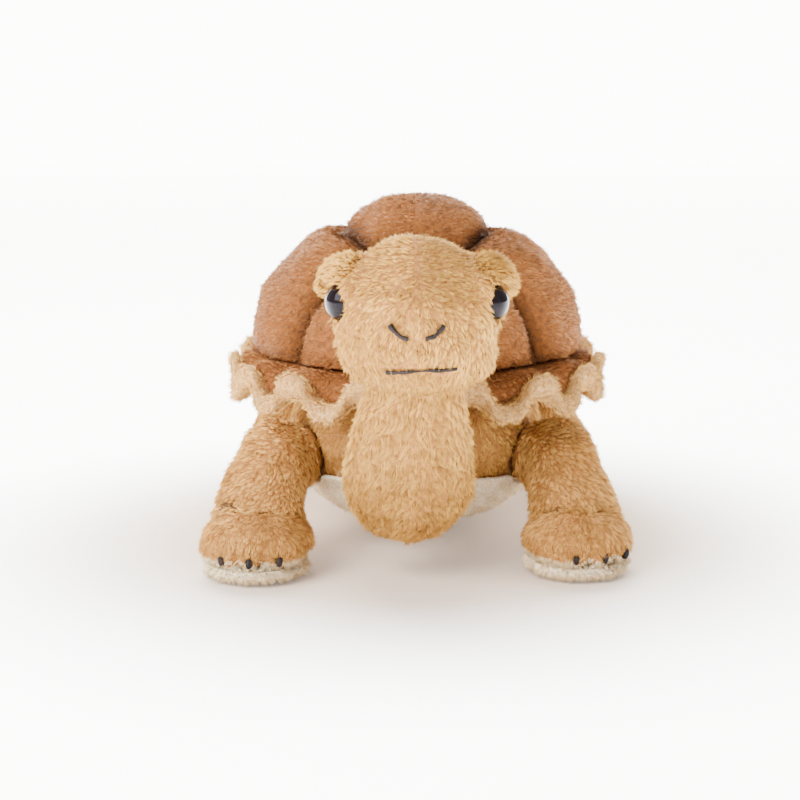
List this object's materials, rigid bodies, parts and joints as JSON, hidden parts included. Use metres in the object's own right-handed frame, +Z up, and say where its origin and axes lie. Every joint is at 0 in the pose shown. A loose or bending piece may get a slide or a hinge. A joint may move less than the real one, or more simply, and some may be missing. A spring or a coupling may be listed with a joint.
{
  "type": "plush turtle",
  "caption": "Standing plush turtle with a quilted brown shell, a wavy ruffled rim, tan head, neck and legs, cream soles and glossy side-facing eyes.",
  "frame": {"origin": "on the floor, under the middle of the toy's length and width", "axes": "+Z up, the toy faces -Y, +X to its left side as it faces the viewer's right"},
  "size_m": [0.1586, 0.2456, 0.131],
  "materials": {
    "brown_plush": "short brown pile plush, brushed, darker in the quilted seams",
    "lining_plush": "light tan pile plush on the underside of the ruffle",
    "tan_plush": "tan pile plush with brushed clumps and darker roots",
    "cream_plush": "cream pile plush",
    "dark_thread": "dark embroidery thread",
    "eye_button": "glossy black domed eye",
    "washer_plastic": "white plastic lock washer, hidden in the head",
    "white_stuffing": "white polyester fibre filling, hidden in the shell"
  },
  "bodies": {
    "trunk": {"shell_front_panel": "brown_plush", "shell_crown_panel": "brown_plush", "shell_rear_panel": "brown_plush", "shell_left_front_panel": "brown_plush", "shell_left_rear_panel": "brown_plush", "shell_right_front_panel": "brown_plush", "shell_right_rear_panel": "brown_plush", "shell_rim": "brown_plush", "rim_lining": "lining_plush", "shell_stuffing": "white_stuffing", "body": "tan_plush", "belly_panel": "cream_plush"},
    "neck": {"neck": "tan_plush"},
    "head": {"head": "tan_plush", "left_brow": "tan_plush", "right_brow": "tan_plush", "left_eye": "eye_button", "right_eye": "eye_button", "left_eye_washer": "washer_plastic", "right_eye_washer": "washer_plastic", "left_nostril_stitch": "dark_thread", "right_nostril_stitch": "dark_thread", "mouth_stitch": "dark_thread"},
    "front_left_leg": {"front_left_leg": "tan_plush", "front_left_paw": "tan_plush", "front_left_sole": "cream_plush", "front_left_left_claw": "dark_thread", "front_left_middle_claw": "dark_thread", "front_left_right_claw": "dark_thread"},
    "front_right_leg": {"front_right_leg": "tan_plush", "front_right_paw": "tan_plush", "front_right_sole": "cream_plush", "front_right_left_claw": "dark_thread", "front_right_middle_claw": "dark_thread", "front_right_right_claw": "dark_thread"},
    "rear_left_leg": {"rear_left_leg": "tan_plush", "rear_left_paw": "tan_plush", "rear_left_sole": "cream_plush", "rear_left_left_claw": "dark_thread", "rear_left_middle_claw": "dark_thread", "rear_left_right_claw": "dark_thread"},
    "rear_right_leg": {"rear_right_leg": "tan_plush", "rear_right_paw": "tan_plush", "rear_right_sole": "cream_plush", "rear_right_left_claw": "dark_thread", "rear_right_middle_claw": "dark_thread", "rear_right_right_claw": "dark_thread"},
    "tail": {"tail": "tan_plush"}
  },
  "joints": [
    {"name": "neck_nod", "type": "hinge", "parent": "trunk", "child": "neck", "pos_m": [0, -0.03775, 0.035], "axis": [1, 0, 0], "range_deg": [-8, 14], "stiffness_Nm_per_rad": 0.4},
    {"name": "head_turn", "type": "hinge", "parent": "neck", "child": "head", "pos_m": [0, -0.08375, 0.08], "axis": [0, 0, 1], "range_deg": [-20, 20], "stiffness_Nm_per_rad": 0.2},
    {"name": "front_left_leg_swing", "type": "hinge", "parent": "trunk", "child": "front_left_leg", "pos_m": [-0.052, -0.02525, 0.036], "axis": [1, 0, 0], "range_deg": [-18, 18], "stiffness_Nm_per_rad": 0.4},
    {"name": "front_right_leg_swing", "type": "hinge", "parent": "trunk", "child": "front_right_leg", "pos_m": [0.052, -0.02525, 0.036], "axis": [1, 0, 0], "range_deg": [-18, 18], "stiffness_Nm_per_rad": 0.4},
    {"name": "rear_left_leg_swing", "type": "hinge", "parent": "trunk", "child": "rear_left_leg", "pos_m": [-0.052, 0.08325, 0.034], "axis": [1, 0, 0], "range_deg": [-18, 18], "stiffness_Nm_per_rad": 0.4},
    {"name": "rear_right_leg_swing", "type": "hinge", "parent": "trunk", "child": "rear_right_leg", "pos_m": [0.052, 0.08325, 0.034], "axis": [1, 0, 0], "range_deg": [-18, 18], "stiffness_Nm_per_rad": 0.4},
    {"name": "tail_lift", "type": "hinge", "parent": "trunk", "child": "tail", "pos_m": [0, 0.09475, 0.042], "axis": [1, 0, 0], "range_deg": [-12, 15], "stiffness_Nm_per_rad": 0.05}
  ]
}
